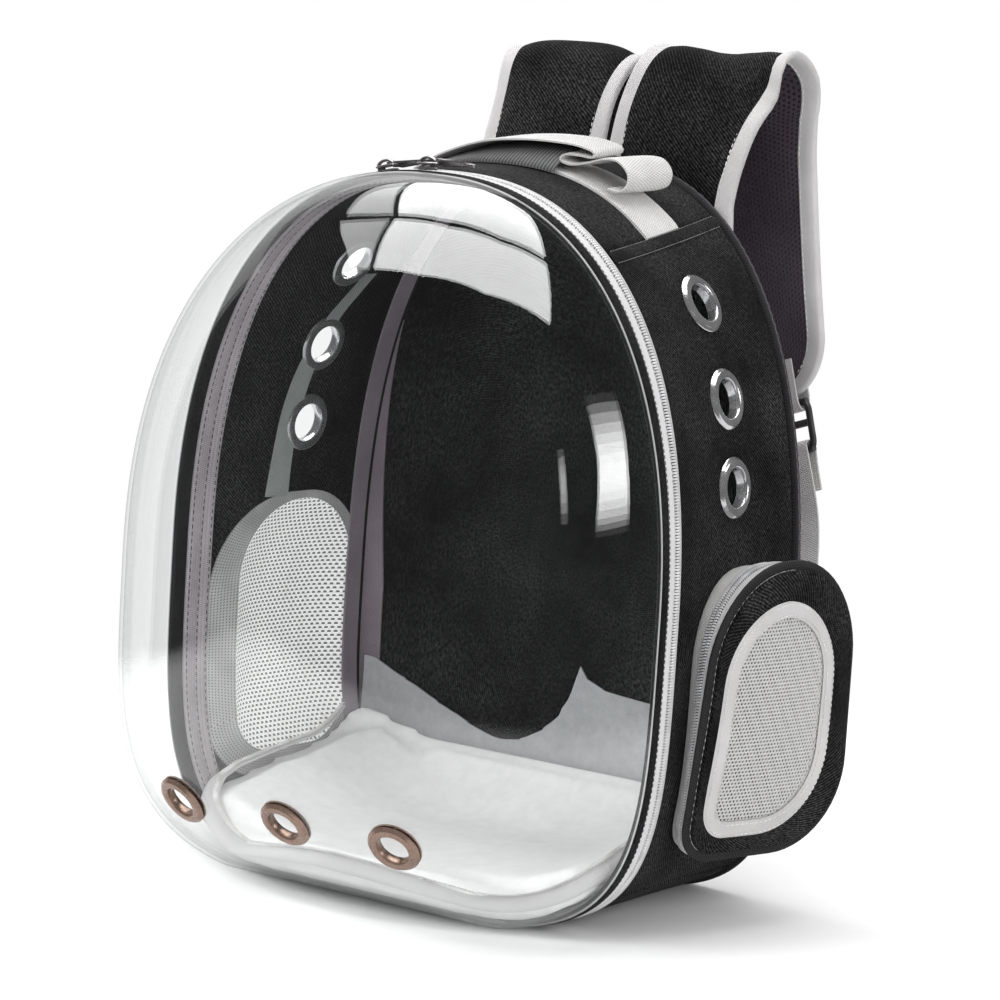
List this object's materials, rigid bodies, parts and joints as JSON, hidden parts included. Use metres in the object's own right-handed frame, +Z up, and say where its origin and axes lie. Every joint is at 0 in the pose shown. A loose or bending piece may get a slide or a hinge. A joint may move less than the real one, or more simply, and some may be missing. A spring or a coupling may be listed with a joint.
{
  "type": "bubble pet carrier backpack",
  "caption": "Pet carrier backpack with a clear domed shell on a zip ring, black fabric body, mesh side pockets and padded straps.",
  "frame": {"origin": "middle of the flat underside, on the surface that the carrier stands on, half way through the fabric body's depth", "axes": "+Z up; -Y towards the front, where the clear shell bulges; +Y towards the wearer's back; +X to the right as seen from the front"},
  "size_m": [0.3946, 0.3683, 0.4765],
  "materials": {
    "black_twill": "woven, matt",
    "white_webbing": "ribbed weave, matt",
    "grey_tape": "woven, matt",
    "zip_nylon": "satin",
    "clear_plastic": "clear, glossy",
    "bronze_metal": "dark, polished",
    "steel_metal": "polished",
    "white_mesh": "open knit",
    "air_mesh": "spacer mesh, matt",
    "plush": "short pile",
    "black_plastic": "moulded, satin"
  },
  "bodies": {
    "root": {"shell_edge_line": "steel_metal", "door_binding": "black_twill", "zip_tape_front": "grey_tape", "zip_coil": "zip_nylon", "zip_tape_rear": "white_webbing", "top_gusset": "black_twill", "bottom_panel": "black_twill", "side_panel_right": "black_twill", "side_panel_left": "black_twill", "side_eyelet_1_right": "steel_metal", "side_eyelet_1_left": "steel_metal", "side_eyelet_2_right": "steel_metal", "side_eyelet_2_left": "steel_metal", "side_eyelet_3_right": "steel_metal", "side_eyelet_3_left": "steel_metal", "back_piping": "black_twill", "back_panel": "air_mesh", "clear_shell": "clear_plastic", "shell_eyelet_left": "bronze_metal", "shell_eyelet_middle": "bronze_metal", "shell_eyelet_right": "bronze_metal", "pocket_wall_right": "white_webbing", "pocket_wall_left": "white_webbing", "pocket_coil_right": "zip_nylon", "pocket_coil_left": "zip_nylon", "pocket_tape_right": "white_webbing", "pocket_tape_left": "white_webbing", "pocket_piping_right": "black_twill", "pocket_piping_left": "black_twill", "pocket_face_right": "black_twill", "pocket_face_left": "black_twill", "pocket_mesh_right": "white_mesh", "pocket_mesh_left": "white_mesh", "window_binding_right": "white_webbing", "window_binding_left": "white_webbing", "top_webbing": "white_webbing", "grab_handle": "white_webbing", "strap_pad_right": "air_mesh", "strap_binding_right": "white_webbing", "adjuster_right": "black_plastic", "strap_tab_right": "white_webbing", "lower_webbing_right": "white_webbing", "strap_pad_left": "air_mesh", "strap_binding_left": "white_webbing", "adjuster_left": "black_plastic", "strap_tab_left": "white_webbing", "lower_webbing_left": "white_webbing", "floor_pad": "plush", "inner_seam_tape_right": "grey_tape", "inner_seam_tape_left": "grey_tape", "zip_slider_1": "steel_metal", "zip_pull_1": "steel_metal", "zip_slider_2": "steel_metal", "zip_pull_2": "steel_metal"}
  },
  "joints": []
}
